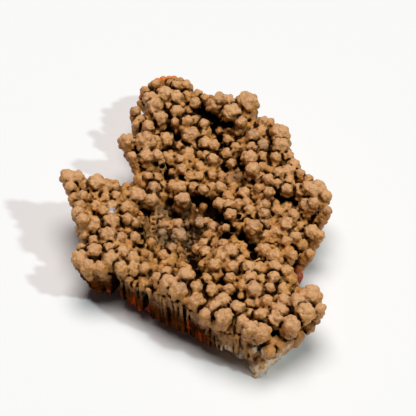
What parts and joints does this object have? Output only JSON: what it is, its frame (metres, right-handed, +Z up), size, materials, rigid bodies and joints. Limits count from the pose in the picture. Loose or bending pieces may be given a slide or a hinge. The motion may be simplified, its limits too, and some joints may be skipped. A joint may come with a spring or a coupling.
{
  "type": "mottramite specimen",
  "caption": "Mineral specimen: a brown crust of rounded nodules on short columns, on an orange-red rock slab cut flat to lie on a shelf.",
  "frame": {"origin": "middle of the specimen's box, at the flat cut that it rests on", "axes": "+Z up from the resting face, +Y along the specimen's length to its narrow head, +X to its right as seen from the front tip"},
  "size_m": [0.0664, 0.0901, 0.0187],
  "materials": {
    "mottramite": "satin, finely grained brown and olive nodules",
    "iron_stained_rock": "rough broken orange-red rock with cream calcite at the tip"
  },
  "bodies": {
    "root": {"mottramite_crust": "mottramite", "matrix": "iron_stained_rock"}
  },
  "joints": []
}
